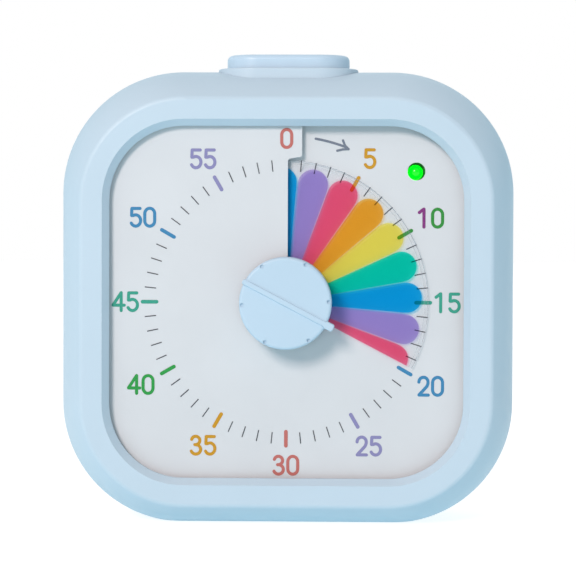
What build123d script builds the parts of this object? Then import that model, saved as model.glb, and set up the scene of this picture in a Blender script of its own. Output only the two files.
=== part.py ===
"""A visual countdown timer: a rounded square case with a knob, a rainbow film that shows the time left,
a start button on top, a status light, and inside it the gear drive, circuit board and batteries.

Frame: X to the viewer's right, Y to the back, Z up. The origin is on the flat base, below the case's
parting line. The dial faces -Y. Lengths are in millimetres.
"""

from build123d import *
from math import atan2, ceil, copysign, cos, degrees, pi, radians, sin, sqrt
import os

os.makedirs("parts", exist_ok=True)

# ---------------------------------------------------------------- driving dimensions
# case
case_size = 89.3          # side of the rounded square at its widest, before the base is cut flat
case_depth = 36.0         # from the front rim to the back panel
base_cut = 0.6            # how much the flat base takes off the rounded square
case_corner = 24.0        # corner radius at the widest
rim_inset = 4.75          # how far the flat front rim stands in from the widest section, at each side
rim_inset_high = 5.05     # the same above and below
rim_corner = 20.4
rim_face = 5.5            # from the rim's outside to the opening that shows the dial, at each side
rim_face_high = 5.4       # the same above and below
window_corner = 14.5
window_bevel = 1.25       # inner bevel round the window, measured along the rim
window_bevel_depth = 1.6
back_inset = 3.6          # how far the back panel is smaller than the widest section, all round
front_y = -18.0           # plane of the front rim
front_crown = 14.0        # depth over which the front half swells to its widest
parting_y = 2.0           # where the two shells meet
back_crown = 8.0          # depth over which the back half shrinks to its panel
wall = 2.0
front_wall = 2.4
rim_round = 1.1
back_round = 1.0
lip_thickness = 0.9
lip_depth = 2.5
dial_height = 43.45       # height of the dial's centre and of the knob's axis

# fits
shaft_gap = 0.05          # running clearance, on the radius
fixed_gap = 0.02          # between pieces that are fixed to each other, on the radius
slip_gap = 0.25           # round pieces that slide or swing through an opening
seat_gap = 0.1            # between a piece and the seat that it rests in

# dial and film, both shallow helicoids that climb towards the viewer as they run clockwise
film_pitch = 1.6          # climb in one turn
dial_depth = 4.4          # of the dial's lowest edge behind the front rim
dial_thickness = 0.5
dial_margin = 1.6         # how far the dial runs behind the frame, all round
dial_corner = 16.2
dial_hole = 4.2
film_lift = 0.5           # film above the dial's face
film_thickness = 0.2
film_margin = 6.8         # between the film's edge and the window's sides
film_angle = 359.0
time_angle = 117.6        # where the film's leading edge and the knob's pointer stand, clockwise from 12
tab_width = 3.0           # the tab that carries the zero, over the slot
tab_overlap = 0.7         # how far the tab's narrow part runs past the film's edge
tab_slope = 0.45          # how much lower the tab's lower edge is at the slot than at its outer corner
tab_round = 0.5           # rounding of that corner, and of the inner one at the slot
slot_lap = 0.25           # how far the high edge runs past the slot's line
hub_radius = 3.4
hub_length = 1.9

# knob and shaft
knob_radius = 8.9
knob_height = 5.5
knob_underside = 1.9      # behind the front rim
knob_wall = 1.5
knob_boss = 3.2
knob_round = 0.6
rib_width = 1.05
rib_height = 0.4
rib_reach = 1.5           # of the pointer beyond the knob's edge
rib_tail = 0.35           # of the rib beyond the edge on the other side
rib_end = 0.4             # rounding of its ends
rib_round = 0.22          # rounding of its top
pointer_width = 1.45
pointer_length = 1.9
pointer_depth = 1.6
dimple_radius = 0.36
dimple_inset = 0.55       # of the grip dimples from the knob's edge
dimple_depth = 0.4
dimple_angles = (30, 90, 150, 210, 270, 330)
shaft_radius = 1.5
shaft_knob_depth = 3.6    # of the shaft's end inside the knob, from its underside

# chassis, drive and electronics
chassis_depth = 6.4       # behind the front rim
chassis_thickness = 2.0
plate_gap = 3.2           # between the chassis and the rear bearing plate
plate_thickness = 1.5
plate_width = 46.0
plate_height = 40.0
gear_module = 0.5
wheel_teeth = 48
pinion_teeth = 12
gear_face = 1.5
motor_angle = 225.0       # of the motor round the knob's axis, counter-clockwise from 3 o'clock
motor_radius = 10.0
motor_length = 7.2
motor_shaft_radius = 1.0
board_y = 1.0
board_thickness = 1.2
board_side_gap = 0.6      # between the board and the case's screw pillars
board_rise = 4.55         # of the board's lower edge above the knob's axis
board_top_gap = 9.3       # below the case's top
led_side = 9.2            # from the window's side to the light
led_drop = 8.7            # from the window's top to the light
led_radius = 1.45
led_hole = 1.72
led_recess = 0.4          # lens tip behind the dial's face
led_shift = 0.12          # of the lens in its hole, to the left and down

# start button and its collar
cap_width = 24.2
cap_depth = 21.4
cap_corner = 6.0
cap_rise = 3.25           # of the cap above the case
cap_round = 1.0
cap_wall = 1.6
collar_width = 27.7
collar_depth = 25.0
collar_corner = 7.6
collar_rise = 0.55
collar_round = 0.35
button_y = 1.0
button_travel = 1.0
switch_y = 4.0

# screws
small_screw = 0.73        # radius of the shank
small_screw_length = 4.5
small_head = 1.7
small_head_height = 1.2
case_screw = 1.08
case_screw_length = 17.0
head_round = 0.4
recess_reach = 0.95
recess_half = 0.22
recess_depth = 0.7

# batteries, door, sounder and volume switch at the back
cell_radius = 5.25
cell_length = 44.5
cell_nub = 0.8
cell_nub_radius = 1.9
cell_inset = 7.8          # of the cells' axes from the back panel
lower_cell_z = 16.0
cell_spacing = 11.2
contact_room = 6.7        # in the bay beyond a cell's length, for contacts and springs
bay_wall = 1.4
bay_floor_y = 4.4
door_thickness = 1.7
buzzer_radius = 10.0
buzzer_inset = 8.5        # of the sounder from the board's end, and of the volume switch from its other end
buzzer_drop = 17.4        # of both below the board's upper edge
buzzer_height = 3.6
volume_travel = 2.0

# ---------------------------------------------------------------- worked out from them
back_y = front_y + case_depth
back_crown_y = back_y - back_crown
case_top = case_size - base_cut
case_middle = case_size / 2 - base_cut
rim_width = case_size - 2 * rim_inset
rim_height = case_size - 2 * rim_inset_high
window_width = rim_width - 2 * rim_face
window_height = rim_height - 2 * rim_face_high
dial_half = window_width / 2 + dial_margin
film_radius = window_width / 2 - film_margin
tab_radius = film_radius + tab_overlap
widest_y = front_y + front_crown
dial_y = front_y + dial_depth
chassis_y = front_y + chassis_depth
chassis_back = chassis_y + chassis_thickness
plate_y = chassis_back + plate_gap
plate_back = plate_y + plate_thickness
knob_under_y = front_y + knob_underside
knob_face_y = knob_under_y - knob_height
wheel_radius = gear_module * wheel_teeth / 2
pinion_radius = gear_module * pinion_teeth / 2
motor_offset = wheel_radius + pinion_radius
motor_x = motor_offset * cos(radians(motor_angle))
motor_z = dial_height + motor_offset * sin(radians(motor_angle))
led_x = window_width / 2 - led_side
led_z = dial_height + window_height / 2 - led_drop
lens_x, lens_z = led_x - led_shift, led_z - led_shift
cap_top = case_top + cap_rise
collar_top = case_top + collar_rise
top_inside = case_top - wall
boss_radius = 3.0
boss_inset = 12.25        # of the corner screws from the case's widest sides
boss_x = case_size / 2 - boss_inset
boss_low = case_middle - boss_x
boss_high = case_middle + boss_x
boss_points = [(x, z) for x in (-boss_x, boss_x) for z in (boss_low, boss_high)]
pillar_radius = 3.3
board_width = 2 * (boss_x - pillar_radius - board_side_gap)
board_bottom = dial_height + board_rise
board_top = case_top - board_top_gap
bay_half = (cell_length + contact_room) / 2
cell_y = back_y - cell_inset
buzzer_x, buzzer_z = buzzer_inset - board_width / 2, board_top - buzzer_drop
volume_x, volume_z = board_width / 2 - buzzer_inset, board_top - buzzer_drop


def facing(y):
    """The upright plane at y that faces the viewer: its own x is X and its own y is height."""
    return Plane.XZ.offset(-y)


def arc_drop(distance, depth, inset):
    """How far an arc has come in at a distance from where it starts, when it comes in by inset over depth."""
    radius = (depth**2 + inset**2) / (2 * inset)
    return radius - sqrt(radius**2 - distance**2)


def front_section(y, skin=0.0):
    """Width, height, corner radius and middle height of the front half at y, taken in by skin all round."""
    share = arc_drop(max(widest_y - y, 0.0), front_crown, rim_inset) / rim_inset
    width = case_size - share * (case_size - rim_width) - 2 * skin
    height = case_size - share * (case_size - rim_height) - 2 * skin
    corner = case_corner - share * (case_corner - rim_corner) - skin
    return width, height, corner, case_middle + share * (dial_height - case_middle)


def back_section(y, skin=0.0):
    """The same for the back half."""
    share_in = arc_drop(max(y - back_crown_y, 0.0), back_y - back_crown_y, back_inset)
    side = case_size - 2 * share_in - 2 * skin
    return side, side, case_corner - share_in - skin, case_middle


def section(y, size):
    """One rounded section of the case at y, as a sketch to loft or extrude."""
    width, height, corner, middle = size
    with BuildSketch(facing(y)) as outline:
        with Locations((0, middle)):
            RectangleRounded(width, height, corner)
    return outline.sketch


def discs(y, points, radius):
    """Circles of one radius round points (x, z) of the upright plane at y, as a sketch."""
    with BuildSketch(facing(y)) as circles:
        with Locations(*points):
            Circle(radius)
    return circles.sketch


def rods(points, front, back, radius, mode=Mode.ADD):
    """Round bars from front to back at points (x, z)."""
    extrude(discs(back, points, radius), amount=back - front, mode=mode)


def block(x, y, z, mode=Mode.ADD):
    """A box from the lower to the upper value on each axis."""
    with Locations(tuple((low + high) / 2 for low, high in (x, y, z))):
        Box(*[high - low for low, high in (x, y, z)], mode=mode)


def cross_recesses(points, back):
    """Cross recesses in screw heads that end at back."""
    for x, z in points:
        depth = (back - recess_depth, back + 1)
        wide, slim = recess_reach, recess_half
        block((x - wide, x + wide), depth, (z - slim, z + slim), Mode.SUBTRACT)
        block((x - slim, x + slim), depth, (z - wide, z + wide), Mode.SUBTRACT)


def save(piece, name):
    piece.part.label = name
    export_step(piece.part, f"parts/{name}.step")


# ---------------------------------------------------------------- front frame
crown_steps = 4
cavity_y = front_y + front_wall
window_bottom_y = front_y + window_bevel_depth
frame_boss_front = chassis_back + 0.4
boss_pilot_depth = 10.0
boss_rib = 1.6
boss_rib_reach = 5.4
boss_rib_back = parting_y - 3.2
chassis_boss_radius = 1.9
chassis_boss_x = dial_half + chassis_boss_radius + 0.35
chassis_boss_rise = dial_half / 2
chassis_boss_points = [
    (x, dial_height + z)
    for x in (-chassis_boss_x, chassis_boss_x)
    for z in (-chassis_boss_rise, chassis_boss_rise)
]
screw_pilot = 1.1
small_pilot = 0.75

with BuildPart() as front_frame:
    crown_y = [front_y + front_crown * step / crown_steps for step in range(crown_steps + 1)]
    loft([section(y, front_section(y)) for y in crown_y])
    extrude(section(widest_y, front_section(widest_y)), amount=widest_y - parting_y)
    rim_edges = front_frame.faces().filter_by(Axis.Y).sort_by(Axis.Y)[0].edges()
    fillet(rim_edges, rim_round)
    # the hollow behind the front wall
    hollow_y = [cavity_y + (widest_y - cavity_y) * step / crown_steps for step in range(crown_steps + 1)]
    loft([section(y, front_section(y, wall)) for y in hollow_y], mode=Mode.SUBTRACT)
    inside = section(widest_y, front_section(widest_y, wall))
    extrude(inside, amount=widest_y - parting_y, mode=Mode.SUBTRACT)
    # screw bosses in the corners, and small ones that carry the chassis
    with BuildSketch(facing(frame_boss_front)):
        with Locations(*boss_points):
            Circle(boss_radius)
    extrude(amount=frame_boss_front - parting_y)
    with BuildSketch(facing(frame_boss_front)):
        for x, z in boss_points:
            outwards = degrees(atan2(z - case_middle, x))
            with Locations(Location((x, z), outwards)):
                with Locations((boss_rib_reach / 2, 0)):
                    Rectangle(boss_rib_reach, boss_rib)
    extrude(amount=frame_boss_front - boss_rib_back)
    with BuildSketch(facing(cavity_y - 0.4)):
        with Locations(*chassis_boss_points):
            Circle(chassis_boss_radius)
    extrude(amount=cavity_y - 0.4 - chassis_y)
    with BuildSketch(facing(parting_y)):
        with Locations(*boss_points):
            Circle(screw_pilot)
    extrude(amount=boss_pilot_depth, mode=Mode.SUBTRACT)
    with BuildSketch(facing(chassis_y)):
        with Locations(*chassis_boss_points):
            Circle(small_pilot)
    extrude(amount=3.4, mode=Mode.SUBTRACT)
    # window with its inner bevel
    with BuildSketch(facing(front_y)):
        with Locations((0, dial_height)):
            RectangleRounded(window_width, window_height, window_corner)
    extrude(amount=-front_wall, mode=Mode.SUBTRACT)
    for y, extra in ((front_y, window_bevel), (window_bottom_y, 0.0)):
        with BuildSketch(facing(y)):
            with Locations((0, dial_height)):
                RectangleRounded(
                    window_width + 2 * extra, window_height + 2 * extra, window_corner + extra
                )
    loft(mode=Mode.SUBTRACT)
    # hole for the button's collar, and the flat base
    with BuildSketch(Plane.XY.offset(case_top + 1)):
        with Locations((0, button_y)):
            RectangleRounded(
                collar_width + 2 * seat_gap, collar_depth + 2 * seat_gap, collar_corner + seat_gap
            )
    extrude(amount=-(wall + front_wall + 2), mode=Mode.SUBTRACT)
    with BuildSketch(Plane.XY):
        Rectangle(2 * case_size, 2 * case_size)
    extrude(amount=-case_size, mode=Mode.SUBTRACT)

save(front_frame, "front_frame")

# ---------------------------------------------------------------- rear case
back_inside = back_y - wall
screw_radius = 1.35
screw_head_radius = 2.4
screw_head_height = 1.6
counterbore = screw_head_radius + slip_gap
counterbore_depth = 8.0
bay_low = lower_cell_z - cell_radius - 0.35
bay_high = lower_cell_z + cell_spacing + cell_radius + 0.35
door_half = bay_half - 0.3
door_low = bay_low + 0.3
door_high = bay_high - 0.3
hinge_tab_clear = 4.5
tab_length = 4.0
tab_places = (-15.0, 15.0)
sound_hole = 0.7
sound_ring = 3.4
volume_slot_length = 2 * volume_travel + 5.4
volume_slot_height = 3.4

with BuildPart() as rear_case:
    extrude(section(parting_y, back_section(parting_y)), amount=parting_y - back_crown_y)
    rear_y = [back_crown_y + (back_y - back_crown_y) * step / 4 for step in range(5)]
    loft([section(y, back_section(y)) for y in rear_y])
    fillet(rear_case.faces().filter_by(Axis.Y).sort_by(Axis.Y)[-1].edges(), back_round)
    hollow = section(parting_y, back_section(parting_y, wall))
    extrude(hollow, amount=parting_y - back_crown_y, mode=Mode.SUBTRACT)
    rear_y = [back_crown_y + (back_inside - back_crown_y) * step / 3 for step in range(4)]
    loft([section(y, back_section(y, wall)) for y in rear_y], mode=Mode.SUBTRACT)
    # lip that locates the front frame
    lip_outside = section(parting_y, back_section(parting_y, wall + seat_gap))
    extrude(lip_outside, amount=lip_depth)
    extrude(section(parting_y, back_section(parting_y, wall - 0.4)), amount=-lip_thickness)
    lip_inside = section(parting_y, back_section(parting_y, wall + seat_gap + lip_thickness))
    extrude(lip_inside, amount=lip_depth, mode=Mode.SUBTRACT)
    extrude(lip_inside, amount=-lip_thickness, mode=Mode.SUBTRACT)
    # screw pillars
    with BuildSketch(facing(parting_y)):
        with Locations(*boss_points):
            Circle(pillar_radius)
    extrude(amount=parting_y - back_inside - 0.3)
    # battery bay
    bay_middle = (bay_low + bay_high) / 2
    with BuildSketch(facing(bay_floor_y - bay_wall)):
        with Locations((0, bay_middle)):
            Rectangle(2 * (bay_half + bay_wall), bay_high - bay_low + 2 * bay_wall)
    extrude(amount=bay_floor_y - bay_wall - back_inside - 0.3)
    with BuildSketch(facing(bay_floor_y)):
        with Locations((0, bay_middle)):
            Rectangle(2 * bay_half, bay_high - bay_low)
    extrude(amount=bay_floor_y - back_y - 1, mode=Mode.SUBTRACT)
    # notches in the bay's lower wall, where the door's hinge tabs swing
    with BuildSketch(facing(back_inside - hinge_tab_clear + wall)):
        with Locations(*[(x, bay_low - bay_wall) for x in tab_places]):
            Rectangle(tab_length + 2 * slip_gap, 2 * bay_wall + 1.0)
    extrude(amount=wall - hinge_tab_clear, mode=Mode.SUBTRACT)
    # holes for the screws, the sounder and the volume switch
    with BuildSketch(facing(parting_y)):
        with Locations(*boss_points):
            Circle(screw_radius + slip_gap)
    extrude(amount=parting_y - back_y, mode=Mode.SUBTRACT)
    with BuildSketch(facing(back_y)):
        with Locations(*boss_points):
            Circle(counterbore)
    extrude(amount=counterbore_depth, mode=Mode.SUBTRACT)
    with BuildSketch(facing(back_y)):
        with Locations((buzzer_x, buzzer_z)):
            Circle(sound_hole)
            with PolarLocations(sound_ring, 8):
                Circle(sound_hole)
        with Locations((volume_x, volume_z)):
            SlotOverall(volume_slot_length, volume_slot_height)
    extrude(amount=wall, mode=Mode.SUBTRACT)
    # ring that holds the sounder
    with BuildSketch(facing(back_inside - buzzer_height)):
        with Locations((buzzer_x, buzzer_z)):
            Circle(buzzer_radius + seat_gap + bay_wall)
            Circle(buzzer_radius + seat_gap, mode=Mode.SUBTRACT)
    extrude(amount=-buzzer_height - 0.3)
    # hole for the button's collar, and the flat base
    with BuildSketch(Plane.XY.offset(case_top + 1)):
        with Locations((0, button_y)):
            RectangleRounded(
                collar_width + 2 * seat_gap, collar_depth + 2 * seat_gap, collar_corner + seat_gap
            )
    extrude(amount=-(wall + front_wall + 2), mode=Mode.SUBTRACT)
    with BuildSketch(Plane.XY):
        Rectangle(2 * case_size, 2 * case_size)
    extrude(amount=-case_size, mode=Mode.SUBTRACT)

save(rear_case, "rear_case")

# ---------------------------------------------------------------- dial
def climbing_sheet(inner, outer, start, turn, lift, thickness):
    """Cuts through a ring of sheet that climbs film_pitch in one clockwise turn, from start degrees past 12.

    Its back stands lift in front of the dial's lowest edge at 12 o'clock.
    """
    steps = ceil(turn / 15)
    cuts = []
    for step in range(steps + 1):
        angle = start + turn * step / steps
        outwards = Vector(sin(radians(angle)), 0, cos(radians(angle)))
        forward = lift + thickness / 2 + film_pitch * angle / 360
        middle = Vector(0, dial_y - forward, dial_height) + outwards * (inner + outer) / 2
        across = Plane(origin=middle, x_dir=outwards, z_dir=outwards.cross(Vector(0, 1, 0)))
        with BuildSketch(across) as cut:
            Rectangle(outer - inner, thickness)
        cuts.append(cut.sketch)
    return cuts


half_turn = 180
with BuildPart() as dial_plate:
    for start in (0, half_turn):
        loft(climbing_sheet(dial_hole, 1.5 * dial_half, start, half_turn, -dial_thickness, dial_thickness))
    with BuildSketch(facing(front_y)):
        with Locations((0, dial_height)):
            RectangleRounded(2 * dial_half, 2 * dial_half, dial_corner)
    extrude(amount=front_y - chassis_y, mode=Mode.INTERSECT)
    # tab over the slot, level with the dial's high edge
    tab_inner = (slot_lap, dial_height + tab_radius - tab_slope)
    tab_outer = (tab_width, dial_height + tab_radius)
    with BuildSketch(facing(dial_y - film_pitch)) as tab:
        with BuildLine():
            Polyline(
                (0, dial_height + dial_hole), (slot_lap, dial_height + dial_hole), tab_inner, tab_outer,
                (tab_width, dial_height + dial_half), (0, dial_height + dial_half), close=True,
            )
        make_face()
        for corner in (tab_inner, tab_outer):
            fillet(tab.vertices().sort_by_distance(corner)[0], tab_round)
    extrude(amount=-dial_thickness)
    with BuildSketch(facing(front_y)):
        with Locations((led_x, led_z)):
            Circle(led_hole)
    extrude(amount=front_y - chassis_y, mode=Mode.SUBTRACT)

save(dial_plate, "dial_plate")

# ---------------------------------------------------------------- rainbow film and its hub
film_start = time_angle - film_angle
film_half = film_angle / 2
with BuildPart() as time_film:
    for start in (film_start, film_start + film_half):
        loft(climbing_sheet(hub_radius + fixed_gap, film_radius, start, film_half, film_lift, film_thickness))

save(time_film, "time_film")

hub_back_y = dial_y - film_lift - film_pitch * film_start / 360 + 0.05
with BuildPart() as film_hub:
    with BuildSketch(facing(hub_back_y)):
        with Locations((0, dial_height)):
            Circle(hub_radius)
            Circle(shaft_radius + shaft_gap, mode=Mode.SUBTRACT)
    extrude(amount=hub_length)

save(film_hub, "film_hub")

# ---------------------------------------------------------------- knob and shaft
pointer_turn = 90 - time_angle      # of the pointer, counter-clockwise from 3 o'clock
shaft_front_y = knob_under_y - shaft_knob_depth
clip_y = plate_back + 0.3
clip_thickness = 0.5
clip_radius = 2.6
clip_groove = 0.35
shaft_back_y = clip_y + clip_thickness + 0.6

with BuildPart() as knob:
    with BuildSketch(facing(knob_under_y)):
        with Locations((0, dial_height)):
            Circle(knob_radius)
    extrude(amount=knob_height)
    fillet(knob.edges().sort_by(Axis.Y)[0], knob_round)
    # the skirt is hollow round the boss
    with BuildSketch(facing(knob_under_y)):
        with Locations((0, dial_height)):
            Circle(knob_radius - knob_wall)
            Circle(knob_boss, mode=Mode.SUBTRACT)
    extrude(amount=shaft_knob_depth, mode=Mode.SUBTRACT)
    with BuildSketch(facing(knob_under_y)):
        with Locations((0, dial_height)):
            Circle(shaft_radius + fixed_gap)
    extrude(amount=shaft_knob_depth + seat_gap, mode=Mode.SUBTRACT)
    # grip dimples in the rounded edge, set from the pointer
    with BuildSketch(facing(knob_face_y)):
        with Locations((0, dial_height)):
            for angle in dimple_angles:
                with Locations(Vector(knob_radius - dimple_inset, 0).rotate(Axis.Z, pointer_turn + angle)):
                    Circle(dimple_radius)
    extrude(amount=-dimple_depth, mode=Mode.SUBTRACT)
    # rounded rib across the face, with the pointer at one end
    with BuildSketch(facing(knob_face_y - rib_height)):
        with Locations(Location((0, dial_height), pointer_turn)):
            with Locations(((rib_reach - rib_tail) / 2, 0)):
                RectangleRounded(2 * knob_radius + rib_reach + rib_tail, rib_width, rib_end)
            with Locations((knob_radius + rib_reach - pointer_length / 2, 0)):
                RectangleRounded(pointer_length, pointer_width, rib_end)
    extrude(amount=-pointer_depth)
    fillet(knob.faces().sort_by(Axis.Y)[0].edges(), rib_round)

save(knob, "knob")

with BuildPart() as knob_shaft:
    with BuildSketch(facing(shaft_back_y)):
        with Locations((0, dial_height)):
            Circle(shaft_radius)
    extrude(amount=shaft_back_y - shaft_front_y)
    with BuildSketch(facing(clip_y + clip_thickness + fixed_gap)):
        with Locations((0, dial_height)):
            Circle(shaft_radius + 1)
            Circle(shaft_radius - clip_groove, mode=Mode.SUBTRACT)
    extrude(amount=clip_thickness + 2 * fixed_gap, mode=Mode.SUBTRACT)

save(knob_shaft, "knob_shaft")

with BuildPart() as shaft_clip:
    with BuildSketch(facing(clip_y + clip_thickness)):
        with Locations((0, dial_height)):
            Circle(clip_radius)
            Circle(shaft_radius - clip_groove + fixed_gap, mode=Mode.SUBTRACT)
            with Locations((0, -clip_radius)):
                Rectangle(2 * (shaft_radius - clip_groove), 2 * clip_radius, mode=Mode.SUBTRACT)
    extrude(amount=clip_thickness)

save(shaft_clip, "shaft_clip")

# ---------------------------------------------------------------- gear drive
wheel_y = chassis_back + 0.75
wheel_back = wheel_y + gear_face
wheel_hole = 2.6
wheel_hole_ring = 7.2
clutch_radius = 3.0
clutch_flange_radius = 4.6
clutch_flange = 0.6
clutch_front_y = wheel_y - 0.5
washer_thickness = 0.4
washer_radius = 5.2
pinion_front_y = wheel_y - 0.2
pinion_back_y = wheel_back + 0.5
plate_hole = 2.2
plate_corner = 4.0
motor_ear = 1.0
motor_ear_half = 2.5
motor_ear_reach = motor_radius + 2.6
motor_ear_turn = 135.0
motor_screw_points = [
    (
        motor_x + side * motor_ear_reach * cos(radians(motor_ear_turn)),
        motor_z + side * motor_ear_reach * sin(radians(motor_ear_turn)),
    )
    for side in (-1, 1)
]


def gear_outline(teeth, x, z):
    """The outline of a straight-flanked gear round (x, z), whose first tooth points to 3 o'clock."""
    pitch_radius = gear_module * teeth / 2
    tip, root = pitch_radius + 0.9 * gear_module, pitch_radius - 1.2 * gear_module
    corners = []
    for tooth in range(teeth):
        for radius, share in ((root, -0.33), (tip, -0.11), (tip, 0.11), (root, 0.33)):
            angle = 2 * pi * (tooth + share) / teeth
            corners.append((x + radius * cos(angle), z + radius * sin(angle)))
    return corners


with BuildPart() as drive_wheel:
    with BuildSketch(facing(wheel_back)):
        with BuildLine():
            Polyline(*gear_outline(wheel_teeth, 0, dial_height), close=True)
        make_face()
        with Locations((0, dial_height)):
            Circle(clutch_radius + fixed_gap, mode=Mode.SUBTRACT)
            with PolarLocations(wheel_hole_ring, 5):
                Circle(wheel_hole, mode=Mode.SUBTRACT)
    extrude(amount=gear_face)

save(drive_wheel, "drive_wheel")

with BuildPart() as clutch_hub:
    with BuildSketch(facing(wheel_back + seat_gap / 2)):
        with Locations((0, dial_height)):
            Circle(clutch_flange_radius)
    extrude(amount=-clutch_flange)
    with BuildSketch(facing(wheel_back + seat_gap)):
        with Locations((0, dial_height)):
            Circle(clutch_radius)
    extrude(amount=wheel_back + seat_gap - clutch_front_y)
    with BuildSketch(facing(plate_y)):
        with Locations((0, dial_height)):
            Circle(shaft_radius + fixed_gap)
    extrude(amount=plate_y - chassis_y, mode=Mode.SUBTRACT)

save(clutch_hub, "clutch_hub")

with BuildPart() as clutch_washer:
    with BuildSketch(facing(wheel_y - seat_gap / 2)):
        with Locations((0, dial_height)):
            Circle(washer_radius)
            Circle(clutch_radius + fixed_gap, mode=Mode.SUBTRACT)
            with PolarLocations(washer_radius, 3):
                Circle(1.0, mode=Mode.SUBTRACT)
    extrude(amount=washer_thickness)

save(clutch_washer, "clutch_washer")

with BuildPart() as motor_pinion:
    with BuildSketch(facing(pinion_back_y)):
        with BuildLine():
            Polyline(*gear_outline(pinion_teeth, motor_x, motor_z), close=True)
        make_face()
        with Locations((motor_x, motor_z)):
            Circle(motor_shaft_radius + fixed_gap, mode=Mode.SUBTRACT)
    extrude(amount=pinion_back_y - pinion_front_y)

save(motor_pinion, "motor_pinion")

with BuildPart() as motor_shaft:
    with BuildSketch(facing(plate_back + 2.5)):
        with Locations((motor_x, motor_z)):
            Circle(motor_shaft_radius)
    extrude(amount=plate_back + 2.5 - pinion_front_y + seat_gap)

save(motor_shaft, "motor_shaft")

with BuildPart() as gear_motor:
    with BuildSketch(facing(plate_back)):
        with Locations((motor_x, motor_z)):
            Circle(motor_radius)
    extrude(amount=-motor_length)
    fillet(gear_motor.edges().sort_by(Axis.Y)[-1], 0.6)
    with BuildSketch(facing(plate_back)):
        with Locations(Location((motor_x, motor_z), motor_ear_turn)):
            SlotOverall(2 * (motor_ear_reach + motor_ear_half), 2 * motor_ear_half)
    extrude(amount=-motor_ear)
    rods(motor_screw_points, plate_back, plate_back + motor_ear, small_screw + slip_gap, Mode.SUBTRACT)
    with BuildSketch(facing(plate_back)):
        with Locations((motor_x, motor_z)):
            Circle(motor_shaft_radius + shaft_gap)
    extrude(amount=-3.0, mode=Mode.SUBTRACT)

save(gear_motor, "gear_motor")

# ---------------------------------------------------------------- chassis and bearing plate
post_radius = 2.4
board_post_radius = 2.2
plate_drop = 3.0          # of the bearing plate's middle below the knob's axis
plate_screw_inset = 3.0
plate_points = [
    (x, dial_height - plate_drop + z)
    for x in (plate_screw_inset - plate_width / 2, plate_width / 2 - plate_screw_inset)
    for z in (plate_screw_inset - plate_height / 2, plate_height / 2 - plate_screw_inset)
]
board_screw_inset = 2.5
board_screw_rise = 4.0
board_screw_drop = 4.9
upper_screw_x = 14.0
board_points = [
    (side * x, z)
    for side in (-1, 1)
    for x, z in (
        (board_width / 2 - board_screw_inset, board_bottom + board_screw_rise),
        (upper_screw_x, board_top - board_screw_drop),
    )
]
dial_post_radius = 1.6
dial_post_inset = 7.0     # of the dial's posts from its edges
dial_post_reach = dial_half - dial_post_inset
ear_reach = chassis_boss_x + chassis_boss_radius - 0.2

with BuildPart() as chassis:
    with BuildSketch(facing(chassis_y)):
        with Locations((0, dial_height)):
            RectangleRounded(2 * dial_half, 2 * dial_half, dial_corner)
            for rise in (-chassis_boss_rise, chassis_boss_rise):
                with Locations((0, rise)):
                    RectangleRounded(2 * ear_reach, 2 * chassis_boss_radius + 1.6, 1.5)
        with Locations((0, dial_height)):
            Circle(shaft_radius + shaft_gap, mode=Mode.SUBTRACT)
        with Locations((lens_x, lens_z)):
            Circle(led_radius + seat_gap, mode=Mode.SUBTRACT)
        with Locations(*chassis_boss_points):
            Circle(small_screw + slip_gap, mode=Mode.SUBTRACT)
    extrude(amount=-chassis_thickness)
    # posts behind the dial, each as long as the dial's level there
    for turn in (45, 135, 225, 315):
        level = film_pitch * turn / 360
        x = copysign(dial_post_reach, sin(radians(turn)))
        z = copysign(dial_post_reach, cos(radians(turn)))
        with BuildSketch(facing(chassis_y)):
            with Locations((x, dial_height + z)):
                Circle(dial_post_radius)
        extrude(amount=chassis_y - (dial_y + dial_thickness - level) - seat_gap)
    # posts for the bearing plate and the circuit board
    with BuildSketch(facing(chassis_back)):
        with Locations(*plate_points):
            Circle(post_radius)
    extrude(amount=-plate_gap)
    with BuildSketch(facing(chassis_back)):
        with Locations(*board_points):
            Circle(board_post_radius)
    extrude(amount=chassis_back - board_y)
    with BuildSketch(facing(plate_y)):
        with Locations(*plate_points):
            Circle(small_pilot)
    extrude(amount=plate_gap, mode=Mode.SUBTRACT)
    with BuildSketch(facing(board_y)):
        with Locations(*board_points):
            Circle(small_pilot)
    extrude(amount=small_screw_length, mode=Mode.SUBTRACT)

save(chassis, "chassis")

with BuildPart() as bearing_plate:
    with BuildSketch(facing(plate_y)):
        with Locations((0, dial_height - plate_drop)):
            RectangleRounded(plate_width, plate_height, plate_corner)
        with Locations((0, dial_height)):
            Circle(shaft_radius + shaft_gap, mode=Mode.SUBTRACT)
        with Locations((motor_x, motor_z)):
            Circle(plate_hole, mode=Mode.SUBTRACT)
        with Locations(*motor_screw_points):
            Circle(small_pilot, mode=Mode.SUBTRACT)
        with Locations(*plate_points):
            Circle(small_screw + slip_gap, mode=Mode.SUBTRACT)
    extrude(amount=-plate_thickness)

save(bearing_plate, "bearing_plate")


# ---------------------------------------------------------------- circuit board and what it carries
board_back = board_y + board_thickness
parts_y = board_back + seat_gap / 2
led_tip_y = dial_y - film_pitch * 45 / 360 + led_recess
led_dome_y = led_tip_y + led_radius
led_flange_y = chassis_back + seat_gap / 2
led_flange_radius = 1.95
led_flange = 0.85
led_lead_x = 1.27
led_lead_radius = 0.25
chip_half = 3.5
chip_height = 1.2
chip_rise = 12.0          # of the chip's middle above the board's lower edge
chip_z = board_bottom + chip_rise
leg_reach = 0.9
leg_half = 0.18
leg_pitch = 0.8
upper_capacitor = (-6.0, 9.4)       # x, and how far below the board's upper edge
lower_capacitor = (9.5, 7.0)        # x, and how far above its lower edge
capacitor_points = [
    (upper_capacitor[0], board_top - upper_capacitor[1]),
    (lower_capacitor[0], board_bottom + lower_capacitor[1]),
]
capacitor_radius = 2.0
capacitor_height = 4.5

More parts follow.
